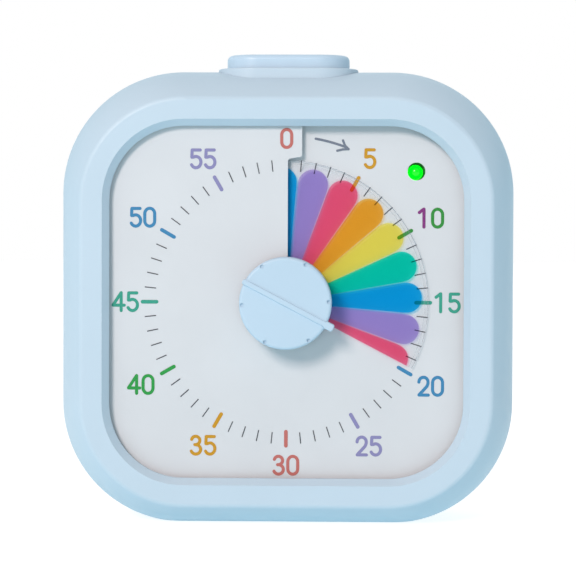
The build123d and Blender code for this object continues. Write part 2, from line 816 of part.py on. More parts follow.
with BuildPart() as circuit_board:
    block((-board_width / 2, board_width / 2), (board_y, board_back), (board_bottom, board_top))
    fillet(circuit_board.edges().filter_by(Axis.Y), 1.5)
    rods(board_points, board_y, board_back, small_screw + slip_gap, Mode.SUBTRACT)

save(circuit_board, "circuit_board")

with BuildPart() as control_chip:
    block((-chip_half, chip_half), (parts_y, parts_y + chip_height), (chip_z - chip_half, chip_z + chip_half))
    chamfer(control_chip.edges().group_by(Axis.Y)[-1], 0.15)
    for leg in range(-3, 4):
        across = (leg * leg_pitch - leg_half, leg * leg_pitch + leg_half)
        reach = chip_half + leg_reach
        block(across, (parts_y, parts_y + 0.25), (chip_z - reach, chip_z + reach))
        along = (chip_z + across[0], chip_z + across[1])
        block((-reach, reach), (parts_y, parts_y + 0.25), along)

save(control_chip, "control_chip")

with BuildPart() as board_capacitors:
    rods(capacitor_points, parts_y, parts_y + capacitor_height, capacitor_radius)
    fillet(board_capacitors.edges().group_by(Axis.Y)[-1], 0.3)

save(board_capacitors, "board_capacitors")

with BuildPart() as status_led:
    rods([(lens_x, lens_z)], led_dome_y, led_flange_y + led_flange, led_radius)
    with Locations((lens_x, led_dome_y, lens_z)):
        Sphere(led_radius)
    rods([(lens_x, lens_z)], led_flange_y, led_flange_y + led_flange, led_flange_radius)

save(status_led, "status_led")

with BuildPart() as led_leads:
    lead_points = [(lens_x - led_lead_x, lens_z), (lens_x + led_lead_x, lens_z)]
    lead_front = led_flange_y + led_flange + fixed_gap
    rods(lead_points, lead_front, board_y - seat_gap / 2, led_lead_radius)

save(led_leads, "led_leads")

# ---------------------------------------------------------------- start button
collar_low = top_inside - 1.6
collar_tab = 1.6
collar_tab_height = 1.5
collar_tab_half = 1.3
collar_tab_places = (-3.0, 6.0)
cap_low = collar_low - 1.5
cap_flange = 0.95
cap_flange_height = 1.2
cap_ceiling = cap_top - 2.0
stem_radius = 1.6
stem_low = cap_low - 2.8
switch_half = 3.0
switch_low = board_top - 3.5
switch_depth = 3.5
plunger_radius = 1.0
plunger_low = board_top - 1.8
plunger_top = stem_low - seat_gap

with BuildPart() as button_collar:
    with BuildSketch(Plane.XY.offset(collar_low)):
        with Locations((0, button_y)):
            RectangleRounded(collar_width, collar_depth, collar_corner)
            RectangleRounded(
                cap_width + 2 * slip_gap, cap_depth + 2 * slip_gap, cap_corner + slip_gap, mode=Mode.SUBTRACT
            )
    extrude(amount=collar_top - collar_low)
    fillet(button_collar.edges().group_by(Axis.Z)[-1], collar_round)
    # tabs that hold it under the case's top wall
    for y in collar_tab_places:
        for side in (-1, 1):
            near, far = collar_width / 2 - 1.0, collar_width / 2 + collar_tab
            across = (near, far) if side > 0 else (-far, -near)
            along = (y - collar_tab_half, y + collar_tab_half)
            block(across, along, (collar_low, collar_low + collar_tab_height))

save(button_collar, "button_collar")

with BuildPart() as start_button:
    with BuildSketch(Plane.XY.offset(cap_low)):
        with Locations((0, button_y)):
            RectangleRounded(cap_width, cap_depth, cap_corner)
    extrude(amount=cap_top - cap_low)
    fillet(start_button.edges().group_by(Axis.Z)[-1], cap_round)
    with BuildSketch(Plane.XY.offset(cap_low)):
        with Locations((0, button_y)):
            RectangleRounded(
                cap_width + 2 * cap_flange, cap_depth + 2 * cap_flange, cap_corner + cap_flange
            )
    extrude(amount=cap_flange_height)
    with BuildSketch(Plane.XY.offset(cap_low)):
        with Locations((0, button_y)):
            RectangleRounded(cap_width - 2 * cap_wall, cap_depth - 2 * cap_wall, cap_corner - cap_wall)
    extrude(amount=cap_ceiling - cap_low, mode=Mode.SUBTRACT)
    with BuildSketch(Plane.XY.offset(stem_low)):
        with Locations((0, switch_y)):
            Circle(stem_radius)
    extrude(amount=cap_ceiling - stem_low + 0.5)

save(start_button, "start_button")

with BuildPart() as start_switch:
    block((-switch_half, switch_half), (parts_y, parts_y + switch_depth), (switch_low, board_top))
    with BuildSketch(Plane.XY.offset(board_top)):
        with Locations((0, switch_y)):
            Circle(plunger_radius + shaft_gap)
    extrude(amount=plunger_low - button_travel - seat_gap - board_top, mode=Mode.SUBTRACT)

save(start_switch, "start_switch")

with BuildPart() as switch_plunger:
    with BuildSketch(Plane.XY.offset(plunger_low)):
        with Locations((0, switch_y)):
            Circle(plunger_radius)
    extrude(amount=plunger_top - plunger_low)

save(switch_plunger, "switch_plunger")

# ---------------------------------------------------------------- sounder and volume switch
buzzer_back = back_inside - seat_gap
buzzer_front = buzzer_back - buzzer_height
pin_reach = 3.0
pin_radius = 0.35
volume_switch_half = (4.3, 2.0)
volume_switch_back = board_back + 3.5
lever_half = 0.75
lever_front = volume_switch_back - 2.1
lever_back = volume_switch_back + 2.3
lever_slot_half = (volume_travel + 0.95, 0.95)
fork_half = 1.6
fork_front = volume_switch_back + 0.7
fork_socket_depth = 2.0
slider_plate_half = (7.0, 3.0)
slider_plate_front = back_inside - 1.5
slider_plate_back = back_inside - slip_gap
thumb_length = 5.0
thumb_height = 2.8
thumb_back = back_y - 0.2


def around(centre, half):
    """The values from half below centre to half above it."""
    return centre - half, centre + half


with BuildPart() as buzzer:
    rods([(buzzer_x, buzzer_z)], buzzer_front, buzzer_back, buzzer_radius)
    fillet(buzzer.edges().group_by(Axis.Y)[-1], 0.5)
    rods([(buzzer_x, buzzer_z)], buzzer_back - 1.0, buzzer_back, 1.2, Mode.SUBTRACT)

save(buzzer, "buzzer")

with BuildPart() as buzzer_pins:
    pin_points = [(buzzer_x - pin_reach, buzzer_z), (buzzer_x + pin_reach, buzzer_z)]
    rods(pin_points, parts_y, buzzer_front - seat_gap / 2, pin_radius)

save(buzzer_pins, "buzzer_pins")

with BuildPart() as volume_switch:
    block(
        around(volume_x, volume_switch_half[0]), (parts_y, volume_switch_back),
        around(volume_z, volume_switch_half[1]),
    )
    block(
        around(volume_x, lever_slot_half[0]), (lever_front - 0.2, volume_switch_back + 1),
        around(volume_z, lever_slot_half[1]), Mode.SUBTRACT,
    )

save(volume_switch, "volume_switch")

with BuildPart() as volume_lever:
    block(around(volume_x, lever_half), (lever_front, lever_back), around(volume_z, lever_half))

save(volume_lever, "volume_lever")

with BuildPart() as volume_slider:
    with BuildSketch(facing(thumb_back)):
        with Locations((volume_x, volume_z)):
            SlotOverall(thumb_length, thumb_height)
    extrude(amount=thumb_back - slider_plate_front)
    fillet(volume_slider.edges().group_by(Axis.Y)[-1], 0.3)
    block(
        around(volume_x, slider_plate_half[0]), (slider_plate_front, slider_plate_back),
        around(volume_z, slider_plate_half[1]),
    )
    block(
        around(volume_x, fork_half), (fork_front, slider_plate_front + 0.3), around(volume_z, fork_half)
    )
    block(
        around(volume_x, lever_half + 0.2), (fork_front - 1, fork_front + fork_socket_depth),
        around(volume_z, lever_half + 0.2), Mode.SUBTRACT,
    )

save(volume_slider, "volume_slider")

# ---------------------------------------------------------------- batteries, contacts and door
upper_cell_z = lower_cell_z + cell_spacing
contact_thickness = 0.4
contact_outer = bay_half - seat_gap
contact_inner = contact_outer - contact_thickness
contact_half = 4.0
nub_end = contact_inner - seat_gap / 2
cell_flat_end = nub_end - cell_length
wire_radius = 0.3
coil_radius = 3.0
coil_turns = 4
coil_low = -cell_flat_end + wire_radius + seat_gap / 2
coil_high = contact_inner - wire_radius - seat_gap / 2

with BuildPart() as battery_cells:
    for side, z in ((1, lower_cell_z), (-1, upper_cell_z)):
        body = cell_length - cell_nub
        with Locations((side * (cell_flat_end + body / 2), cell_y, z)):
            Cylinder(cell_radius, body, rotation=(0, 90, 0))
    fillet(battery_cells.edges().filter_by(GeomType.CIRCLE), 0.4)
    for side, z in ((1, lower_cell_z), (-1, upper_cell_z)):
        with Locations((side * (nub_end - cell_nub), cell_y, z)):
            Cylinder(cell_nub_radius, 2 * cell_nub, rotation=(0, 90, 0))

save(battery_cells, "battery_cells")

with BuildPart() as battery_contacts:
    block(
        (-contact_outer, -contact_inner), around(cell_y, contact_half),
        (lower_cell_z - contact_half, upper_cell_z + contact_half),
    )
    for z in (lower_cell_z, upper_cell_z):
        block((contact_inner, contact_outer), around(cell_y, contact_half), around(z, contact_half))

save(battery_contacts, "battery_contacts")

with BuildPart() as contact_springs:
    for side, z in ((-1, lower_cell_z), (1, upper_cell_z)):
        coil_height = coil_high - coil_low
        with BuildLine() as coil:
            Helix(
                coil_height / coil_turns, coil_height, coil_radius,
                center=(side * coil_low, cell_y, z), direction=(side, 0, 0),
            )
        with BuildSketch(Plane(origin=coil.line @ 0, z_dir=coil.line % 0)):
            Circle(wire_radius)
        sweep(path=coil.line, is_frenet=True)

save(contact_springs, "contact_springs")

door_inner_y = back_y - door_thickness
tab_front_y = back_inside - 1.7
tab_back_y = back_inside - 0.4
tab_drop = 2.0
tab_root = 1.0
latch_half = 6.0
latch_slot = 0.8
latch_length = 7.0
grip_half = 3.0

with BuildPart() as battery_door:
    block((-door_half, door_half), (door_inner_y, back_y), (door_low, door_high))
    fillet(battery_door.edges().filter_by(Axis.Y), 0.8)
    # tabs that swing in the notches of the bay's lower wall
    for x in tab_places:
        across = around(x, tab_length / 2)
        block(across, (tab_front_y, tab_back_y), (bay_low - tab_drop, door_low + tab_root))
        block(across, (tab_front_y, door_inner_y + 0.3), (door_low, door_low + tab_root))
    # latch tongue between two slots, with a grip recess
    for x in (-latch_half, latch_half):
        block(
            around(x, latch_slot / 2), (door_inner_y - 1, back_y + 1),
            (door_high - latch_length, door_high + 1), Mode.SUBTRACT,
        )
    for rib in range(3):
        block(
            around(0, grip_half), (back_y - 0.4, back_y + 1),
            around(door_high - 2.0 - 1.5 * rib, 0.35), Mode.SUBTRACT,
        )

save(battery_door, "battery_door")

# ---------------------------------------------------------------- screws
small_screw_sets = [
    (chassis_back, chassis_boss_points),
    (plate_back, plate_points),
    (board_back, board_points),
]
motor_screw_length = 2.4
case_screw_seat = back_y - counterbore_depth

with BuildPart() as small_screws:
    for seat, points in small_screw_sets:
        rods(points, seat, seat + small_head_height, small_head)
        fillet(small_screws.edges().group_by(Axis.Y)[-1], head_round)
        rods(points, seat - small_screw_length, seat, small_screw)
        cross_recesses(points, seat + small_head_height)

save(small_screws, "small_screws")

with BuildPart() as motor_screws:
    motor_seat = plate_back + motor_ear
    rods(motor_screw_points, motor_seat, motor_seat + small_head_height, small_head)
    fillet(motor_screws.edges().group_by(Axis.Y)[-1], head_round)
    rods(motor_screw_points, motor_seat - motor_screw_length, motor_seat, small_screw)
    cross_recesses(motor_screw_points, motor_seat + small_head_height)

save(motor_screws, "motor_screws")

with BuildPart() as case_screws:
    rods(boss_points, case_screw_seat, case_screw_seat + screw_head_height, screw_head_radius)
    fillet(case_screws.edges().group_by(Axis.Y)[-1], head_round)
    rods(boss_points, case_screw_seat - case_screw_length, case_screw_seat, case_screw)
    cross_recesses(boss_points, case_screw_seat + screw_head_height)

save(case_screws, "case_screws")
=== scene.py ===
"""Looks of the visual countdown timer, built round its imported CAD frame.

Named sizes are in millimetres and Blender's own lengths in metres. Angles on the dial are in
degrees, clockwise from 12 o'clock, and colours are linear.
"""

from math import atan2, cos, degrees, pi, radians, sin

import bmesh
import bpy
from mathutils import Matrix, Vector


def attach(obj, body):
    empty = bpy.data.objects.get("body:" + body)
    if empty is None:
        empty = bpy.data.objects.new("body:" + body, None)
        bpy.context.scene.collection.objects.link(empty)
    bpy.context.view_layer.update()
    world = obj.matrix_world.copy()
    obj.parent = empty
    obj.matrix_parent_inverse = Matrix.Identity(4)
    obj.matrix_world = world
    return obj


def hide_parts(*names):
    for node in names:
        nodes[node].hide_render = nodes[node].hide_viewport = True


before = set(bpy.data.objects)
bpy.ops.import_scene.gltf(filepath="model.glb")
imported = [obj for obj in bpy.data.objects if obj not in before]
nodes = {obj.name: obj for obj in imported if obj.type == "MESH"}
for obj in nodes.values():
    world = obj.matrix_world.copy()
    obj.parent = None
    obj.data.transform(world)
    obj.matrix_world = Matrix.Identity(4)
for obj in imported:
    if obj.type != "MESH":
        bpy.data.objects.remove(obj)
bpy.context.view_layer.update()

MM = 0.001
WHITE = (1.0, 1.0, 1.0, 1.0)

# ---------------------------------------------------------------- sizes shared with the CAD
DIAL_HEIGHT = 43.45       # of the dial's centre above the base
DIAL_Y = -13.6            # y of the dial's lowest edge, just clockwise of 12 o'clock
PITCH = 1.6               # how far the dial and film climb towards the viewer in one clockwise turn
TAB_WIDTH = 3.0
TAB_RADIUS = 28.3
HUB_RADIUS = 3.42
FILM_RADIUS = 27.6
FILM_ANGLE = 359.0
FILM_LIFT = 0.5           # of the film's back in front of the dial
FILM_THICKNESS = 0.2
TIME_ANGLE = 117.6        # of the film's leading edge

# ---------------------------------------------------------------- reach of the status light's green, of its painted glow and of the painted shade on its lens
LIT_RADIUS = 1.45                  # of the bright part of the lens
LIT_FADE = (0.93, 1.03)            # shares of that radius between which the bright part ends in the painted shade of the rim
LIT_SHIFT = (-0.06, 0.0, -0.06)    # of the bright part from the middle of the lens
HOLE_RADIUS = 1.74                 # of the green glow painted on the dial, just over the radius of the light's hole in it
HOLE_SHIFT = (0.12, 0.0, 0.12)     # of the hole from the middle of the lens
CHASSIS_PAINTED_GLOW_RADIUS = 2.2         # of the status light's green glow painted on the chassis, where it shows through the hole


def linear(red, green, blue):
    """A display colour, 0 to 255, as the linear colour that shaders take."""
    channels = []
    for value in (red, green, blue):
        v = value / 255
        channels.append(v / 12.92 if v <= 0.04045 else ((v + 0.055) / 1.055) ** 2.4)
    return (*channels, 1.0)


def scaled(colour, factor):
    """A colour with its channels times a factor, none of them above 1."""
    return tuple(min(v * factor, 1.0) for v in colour[:3]) + (1.0,)


# ---------------------------------------------------------------- node helpers
def connect(tree, socket, value):
    """Gives an input a value, or a link where the value is a socket; None leaves it alone."""
    if isinstance(value, bpy.types.NodeSocket):
        tree.links.new(value, socket)
    elif value is not None:
        socket.default_value = value


def mix_colours(tree, factor, a, b):
    """Colour a where factor is 0 and b where it is 1; a Mix node's colours are its inputs 6 and 7."""
    made = tree.nodes.new("ShaderNodeMix")
    made.data_type = "RGBA"
    for number, value in ((0, factor), (6, a), (7, b)):
        connect(tree, made.inputs[number], value)
    return made.outputs[2]


class Shader:
    """A material with a Principled shader, and short ways to add nodes to it."""

    def __init__(self, name, **sockets):
        self.material = bpy.data.materials.new(name)
        self.material.use_nodes = True
        self.tree = self.material.node_tree
        self.shader = self.tree.nodes["Principled BSDF"]
        self.output = self.tree.nodes["Material Output"]
        for socket, value in sockets.items():
            self.shader.inputs[socket.replace("_", " ")].default_value = value

    def node(self, kind, *inputs, **settings):
        """Adds a node; inputs are values or sockets, in order, and None leaves one alone."""
        made = self.tree.nodes.new(kind)
        for name, value in settings.items():
            setattr(made, name, value)
        for number, value in enumerate(inputs):
            self.feed(made.inputs[number], value)
        return made

    def feed(self, socket, value):
        connect(self.tree, socket, value)

    def set(self, socket, value):
        """Feeds an input of the Principled shader."""
        self.feed(self.shader.inputs[socket], value)

    def math(self, operation, a, b=None):
        return self.node("ShaderNodeMath", a, b, operation=operation).outputs[0]

    def coordinates(self):
        return self.node("ShaderNodeTexCoord").outputs["Object"]

    def noise(self, per_mm, detail=2.0, roughness=0.5, coordinates=None):
        """Noise with about per_mm features in a millimetre, from 0 to 1."""
        made = self.node("ShaderNodeTexNoise")
        self.feed(made.inputs["Vector"], coordinates or self.coordinates())
        self.feed(made.inputs["Scale"], per_mm / MM)
        self.feed(made.inputs["Detail"], detail)
        self.feed(made.inputs["Roughness"], roughness)
        return made.outputs[0]

    def spread(self, value, low, high, from_low=0.3, from_high=0.7):
        """A value from from_low..from_high spread over low..high."""
        made = self.node("ShaderNodeMapRange", value, from_low, from_high, low, high)
        return made.outputs[0]

    def mix(self, factor, a, b):
        """Colour a where factor is 0 and b where it is 1."""
        return mix_colours(self.tree, factor, a, b)

    def bump(self, height, depth_mm):
        """A bump of a height from 0 to 1 that stands for depth_mm."""
        made = self.node("ShaderNodeBump")
        self.feed(made.inputs["Distance"], depth_mm * MM)
        self.feed(made.inputs["Height"], height)
        return made.outputs[0]


def from_light(s, shift):
    """How far a place is from the status light's axis, moved aside by a shift, in metres."""
    middle = sum((Vector(corner) for corner in nodes["status_led"].bound_box), Vector()) / 8
    axis = tuple(middle + Vector(shift) * MM)
    offset = s.node("ShaderNodeVectorMath", s.coordinates(), axis, operation="SUBTRACT").outputs[0]
    flat = s.node("ShaderNodeVectorMath", offset, (1, 0, 1), operation="MULTIPLY").outputs[0]
    return s.node("ShaderNodeVectorMath", flat, operation="LENGTH").outputs["Value"]


def painted_led_glow(s, colour, radius):
    """A colour with the status light's green glow painted on it within a radius of the middle of the light's
    hole.
    """
    near = s.math("LESS_THAN", from_light(s, HOLE_SHIFT), radius * MM)
    return s.mix(near, colour, linear(0, 150, 40))


def moulded(name, colour, roughness, grain_mm=0.012, grain_per_mm=4.0, tint=0.025, painted_glow_radius=0):
    """Moulded plastic: faint uneven colour, a fine grain, and gloss that varies a little; with a glow radius
    given, the status light's green glow is painted within it.
    """
    s = Shader(name)
    where = s.coordinates()
    cloud = s.noise(0.05, detail=3.0, coordinates=where)
    shade = s.mix(s.spread(cloud, 0.0, 1.0), scaled(colour, 1 - 2 * tint), scaled(colour, 1 + tint))
    if painted_glow_radius:
        shade = painted_led_glow(s, shade, painted_glow_radius)
    s.set("Base Color", shade)
    s.set("Roughness", s.spread(s.noise(0.4, coordinates=where), roughness - 0.05, roughness + 0.05))
    grain = s.noise(grain_per_mm, roughness=0.6, coordinates=where)
    s.set("Normal", s.bump(grain, grain_mm))
    return s.material


def metal(name, colour, roughness, streak=(1, 1, 1)):
    """Bare metal with fine scratches; streak stretches them."""
    s = Shader(name, Metallic=1.0)
    where = s.coordinates()
    stretched = s.node("ShaderNodeVectorMath", where, streak, operation="MULTIPLY").outputs[0]
    lines = s.noise(3.0, detail=4.0, roughness=0.7, coordinates=stretched)
    patches = s.noise(0.15, detail=3.0, coordinates=where)
    s.set("Base Color", s.mix(s.spread(patches, 0.0, 1.0), scaled(colour, 0.82), colour))
    s.set("Roughness", s.spread(lines, roughness - 0.08, roughness + 0.12))
    s.set("Normal", s.bump(lines, 0.004))
    return s.material


def dress(material, *names):
    """Gives CAD pieces a material."""
    for name in names:
        slots = nodes[name].data.materials
        slots.clear()
        slots.append(material)


# ---------------------------------------------------------------- materials of the CAD pieces
CASE_COLOUR = linear(194, 211, 223)
INNER_COLOUR = linear(226, 226, 221)
frame_plastic = moulded("frame_plastic", CASE_COLOUR, 0.46, grain_mm=0.010, tint=0.008)
rear_plastic = moulded("rear_plastic", CASE_COLOUR, 0.5, grain_mm=0.03, grain_per_mm=2.2)
knob_plastic = moulded("knob_plastic", linear(188, 210, 226), 0.44, grain_mm=0.004, tint=0.012)
button_plastic = moulded("button_plastic", linear(193, 214, 230), 0.36, grain_mm=0.006)
inner_plastic = moulded("inner_plastic", INNER_COLOUR, 0.45)
# the chassis carries the status light's green glow, painted where it shows through the hole
chassis_plastic = moulded("chassis_plastic", INNER_COLOUR, 0.45, painted_glow_radius=CHASSIS_PAINTED_GLOW_RADIUS)
gear_plastic = moulded("gear_plastic", linear(238, 236, 226), 0.4)
black_plastic = moulded("black_plastic", linear(34, 34, 36), 0.42, tint=0.1)
chip_plastic = moulded("chip_plastic", linear(26, 26, 28), 0.55, tint=0.1)
cell_jacket = moulded("cell_jacket", linear(62, 66, 72), 0.28, tint=0.06)
bright_steel = metal("bright_steel", linear(205, 205, 203), 0.24)
screw_steel = metal("screw_steel", linear(176, 178, 182), 0.3)
motor_steel = metal("motor_steel", linear(190, 192, 194), 0.33, streak=(0.2, 3.0, 0.2))
brass = metal("brass", linear(205, 168, 96), 0.28, streak=(0.3, 4.0, 0.3))

dress(frame_plastic, "front_frame", "button_collar")
dress(rear_plastic, "rear_case", "battery_door")
dress(knob_plastic, "knob")
dress(button_plastic, "start_button", "volume_slider")
dress(inner_plastic, "film_hub", "bearing_plate", "switch_plunger")
dress(chassis_plastic, "chassis")
dress(gear_plastic, "drive_wheel")
dress(black_plastic, "start_switch", "buzzer", "volume_lever")
dress(chip_plastic, "control_chip", "board_capacitors")
dress(cell_jacket, "battery_cells")
dress(bright_steel, "knob_shaft", "shaft_clip", "clutch_washer", "motor_shaft", "led_leads", "buzzer_pins")
dress(bright_steel, "battery_contacts", "contact_springs", "volume_switch")
dress(screw_steel, "small_screws", "motor_screws", "case_screws")
dress(motor_steel, "gear_motor")
dress(brass, "motor_pinion", "clutch_hub")


def printed_sheet():
    """The dial: a matt off-white sheet with a faint fibre grain, and the status light's green glow painted
    on the wall of its hole.
    """
    s = Shader("dial_sheet")
    where = s.coordinates()
    cloud = s.noise(0.06, detail=3.0, coordinates=where)
    sheet = s.mix(s.spread(cloud, 0.0, 1.0), linear(210, 211, 213), linear(215, 216, 218))
    # the status light's green glow, painted on the sheet round its hole
    s.set("Base Color", painted_led_glow(s, sheet, HOLE_RADIUS))
    s.set("Roughness", s.spread(s.noise(0.5, coordinates=where), 0.42, 0.5))
    fibres = s.noise(6.0, detail=3.0, roughness=0.6, coordinates=where)
    s.set("Normal", s.bump(fibres, 0.004))
    return s.material


def circuit_mask():
    """Green solder mask over copper tracks."""
    s = Shader("solder_mask", Roughness=0.3)
    where = s.coordinates()
    cells = s.node("ShaderNodeTexBrick", where, linear(12, 82, 38), linear(18, 98, 46), linear(46, 128, 66))
    s.feed(cells.inputs["Scale"], 0.35 / MM)
    s.feed(cells.inputs["Mortar Size"], 0.04)
    s.set("Base Color", cells.outputs[0])
    s.set("Normal", s.bump(cells.outputs[1], 0.03))
    return s.material


def lit_lens():
    """The status light's lens: bright green, with painted shade of the hole's edge as a darker rim, widest
    at its upper right.
    """
    s = Shader("lit_lens", Roughness=0.12, Specular_IOR_Level=0.4, Emission_Strength=3.0)
    fade = [LIT_RADIUS * share * MM for share in LIT_FADE]
    # beyond the bright part the lens is painted darker, as shade of the hole's edge
    rim = s.spread(from_light(s, LIT_SHIFT), 0.0, 1.0, *fade)
    s.set("Emission Color", s.mix(rim, linear(0, 250, 14), linear(0, 70, 5)))
    s.set("Base Color", linear(0, 60, 8))
    return s.material


dress(printed_sheet(), "dial_plate")
dress(circuit_mask(), "circuit_board")
dress(lit_lens(), "status_led")


# ---------------------------------------------------------------- shapes
TAB_MARGIN = 1.0          # how far inside the tab's radius print already takes the tab's level
MITRE_LIMIT = 0.5         # so that a sharp bend of a stroke doesn't grow a long point
CAP_STEPS = 8             # of a stroke's round end


def climb(angle):
    """How far the dial's level at an angle stands in front of its lowest edge."""
    return PITCH * angle / 360


def dial_front(x, z):
    """The y of the dial's printed side at a place x, z from the dial's centre."""
    on_tab = 0 <= x <= TAB_WIDTH and z > TAB_RADIUS - TAB_MARGIN
    angle = 360 if on_tab else degrees(atan2(x, z)) % 360
    return DIAL_Y - climb(angle)


def on_ray(angle, *radii):
    """Places x, z on the dial at an angle, one for each radius."""
    turned = radians(angle)
    return [(radius * sin(turned), radius * cos(turned)) for radius in radii]


def add_object(name, mesh, material, body):
    """Adds a mesh as a piece that rides on a body."""
    piece = bpy.data.objects.new(name, mesh)
    bpy.context.scene.collection.objects.link(piece)
    mesh.materials.append(material)
    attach(piece, body)
    return piece


def arc(x, z, wide, high, start, end, steps=14):
    """Points of part of an ellipse, with angles counter-clockwise from 3 o'clock."""
    points = []
    for step in range(steps + 1):
        angle = radians(start + (end - start) * step / steps)
        points.append((x + wide * cos(angle), z + high * sin(angle)))
    return points


def ribbon(mesh, points, width, level, ends):
    """Adds a printed stroke along points, laid on the dial at a small height above it.

    Its ends are round or square, or it is closed into a ring.
    """
    closed = ends == "closed"
    half = width / 2
    count = len(points)
    rims = []
    for number, (x, z) in enumerate(points):
        if closed:
            before, after = points[number - 1], points[(number + 1) % count]
        else:
            before, after = points[max(number - 1, 0)], points[min(number + 1, count - 1)]
        run = Vector((after[0] - before[0], after[1] - before[1])).normalized()
        into = Vector((x - before[0], z - before[1]))
        bend = max(run.dot(into.normalized()), MITRE_LIMIT) if into.length > 0 else 1.0
        side = Vector((-run.y, run.x)) * half / bend
        rims.append(((x + side.x, z + side.y), (x - side.x, z - side.y)))

    def vertex(x, z):
        return mesh.verts.new((x * MM, (dial_front(x, z) - level) * MM, (DIAL_HEIGHT + z) * MM))

    made = [(vertex(*left), vertex(*right)) for left, right in rims]
    pairs = list(zip(made, made[1:] + made[:1] if closed else made[1:]))
    for (left, right), (next_left, next_right) in pairs:
        mesh.faces.new((left, right, next_right, next_left))
    if ends != "round":
        return
    for end, (x, z), beyond in ((0, points[0], points[1]), (-1, points[-1], points[-2])):
        out = atan2(z - beyond[1], x - beyond[0])
        turns = [out + pi / 2 - pi * step / CAP_STEPS for step in range(1, CAP_STEPS)]
        cap = [vertex(x + half * cos(turn), z + half * sin(turn)) for turn in turns]
        left, right = made[end]
        mesh.faces.new([left, *cap, right] if end else [right, *cap, left])


STROKE = 0.61             # width of the numerals' strokes
DIGIT_HALF_WIDTH = 0.97   # of a digit's strokes, measured along their middle
DIGIT_HALF_HEIGHT = 1.74
DIGIT_STEP = 2.72         # from one digit's middle to the next
GLYPHS = {                # each digit's strokes, in a box from about -1 to 1
    "0": [(arc(0, 0.4, 1.0, 0.6, 0, 180, 12) + arc(0, -0.4, 1.0, 0.6, 180, 360, 12), "closed")],
    "1": [([(-0.85, 0.62), (0.02, 1.0)], "round"), ([(0.08, 1.0), (0.08, -1.0)], "round")],
    "2": [
        (
            arc(-0.02, 0.46, 0.92, 0.54, 180, 0) + arc(-0.75, 0.46, 1.65, 0.9, 0, -40, 6)
            + [(-0.9, -0.97)],
            "round",
        ),
        ([(-0.9, -0.99), (0.95, -0.99)], "round"),
    ],
    "3": [
        (arc(-0.08, 0.53, 0.84, 0.47, 165, -80), "round"),
        ([(-0.25, 0.06), (0.05, 0.06)], "round"),
        (arc(-0.06, -0.47, 0.98, 0.53, 82, -158), "round"),
    ],
    "4": [
        ([(0.5, 1.0), (-1.12, -0.38)], "round"),
        ([(-1.12, -0.4), (1.12, -0.4)], "round"),
        ([(0.5, 1.0), (0.5, -1.0)], "round"),
    ],
    "5": [
        ([(0.85, 0.98), (-0.78, 0.98)], "round"),
        ([(-0.78, 0.98), (-0.84, 0.18)], "round"),
        ([(-0.84, 0.18)] + arc(-0.02, -0.37, 1.0, 0.63, 118, -152, 18), "round"),
    ],
}

CORAL, AMBER = linear(190, 104, 96), linear(198, 142, 8)
PURPLE, GREEN = linear(128, 44, 118), linear(38, 136, 48)
TEAL, BLUE, LAVENDER = linear(48, 154, 130), linear(52, 128, 172), linear(136, 132, 176)
LEAF, INK, ARROW_INK = linear(30, 148, 60), linear(72, 74, 80), linear(112, 120, 134)
NUMERALS = [
    ("0", CORAL), ("5", AMBER), ("10", GREEN), ("15", TEAL), ("20", BLUE), ("25", LAVENDER),
    ("30", CORAL), ("35", AMBER), ("40", LEAF), ("45", TEAL), ("50", BLUE), ("55", LAVENDER),
]
NUMERAL_TURN = 30         # from one numeral to the next
MINUTE_TURN = 6
NUMERAL_RADIUS = 32.3
NUMERAL_RADII = {"0": 31.8, "15": 31.3, "30": 31.8, "45": 31.3}      # of the four that stand nearer in
NUMERAL_SHIFTS = {        # of numerals that stand a little off their circle
    "10": (0.0, 0.3), "20": (0.15, -0.1), "40": (-0.3, 0.0), "50": (0.0, 0.3), "55": (-0.1, -0.15),
}
TICK_INNER, TICK_OUTER, TICK_WIDTH = 25.25, 28.0, 0.72      # the round ends reach further
MINUTE_INNER, MINUTE_OUTER, MINUTE_WIDTH = 25.5, 27.7, 0.2
PRINT_LIFT = 0.035
PRINT_THICKNESS = 0.012
STROKE_LIFT = 0.002       # from one stroke's level to the next, so that crossing strokes don't flicker
STROKE_LEVELS = 5
SHEET_TONE = 0.8          # of the sheet that shows through thin ink
INK_THINNING = 0.04
inks = {}


def ink(colour):
    """Printed ink, slightly uneven, one material for each colour."""
    if colour not in inks:
        s = Shader(f"ink_{len(inks)}", Roughness=0.5, Specular_IOR_Level=0.2)
        where = s.coordinates()
        thin = tuple(v + (SHEET_TONE - v) * INK_THINNING for v in colour[:3]) + (1.0,)
        cloud = s.noise(5.0, detail=3.0, coordinates=where)
        s.set("Base Color", s.mix(s.spread(cloud, 0.0, 1.0), colour, thin))
        inks[colour] = s.material
    return inks[colour]


def print_on_dial(name, strokes, colour):
    """One printed piece from strokes, each (points, width, ends), on the dial."""
    shape = bmesh.new()
    for number, (points, width, ends) in enumerate(strokes):
        ribbon(shape, points, width, PRINT_LIFT + STROKE_LIFT * (number % STROKE_LEVELS), ends)
    bmesh.ops.recalc_face_normals(shape, faces=shape.faces)
    mesh = bpy.data.meshes.new(name)
    shape.to_mesh(mesh)
    shape.free()
    piece = add_object(name, mesh, ink(colour), "case")
    thick = piece.modifiers.new("thickness", "SOLIDIFY")
    thick.thickness = PRINT_THICKNESS * MM
    thick.offset = 0


def digit_strokes(digit, x, z):
    """The strokes of a digit with its middle at a place on the dial."""
    strokes = []
    for points, ends in GLYPHS[digit]:
        placed = [(x + DIGIT_HALF_WIDTH * px, z + DIGIT_HALF_HEIGHT * pz) for px, pz in points]
        strokes.append((placed, STROKE, ends))
    return strokes


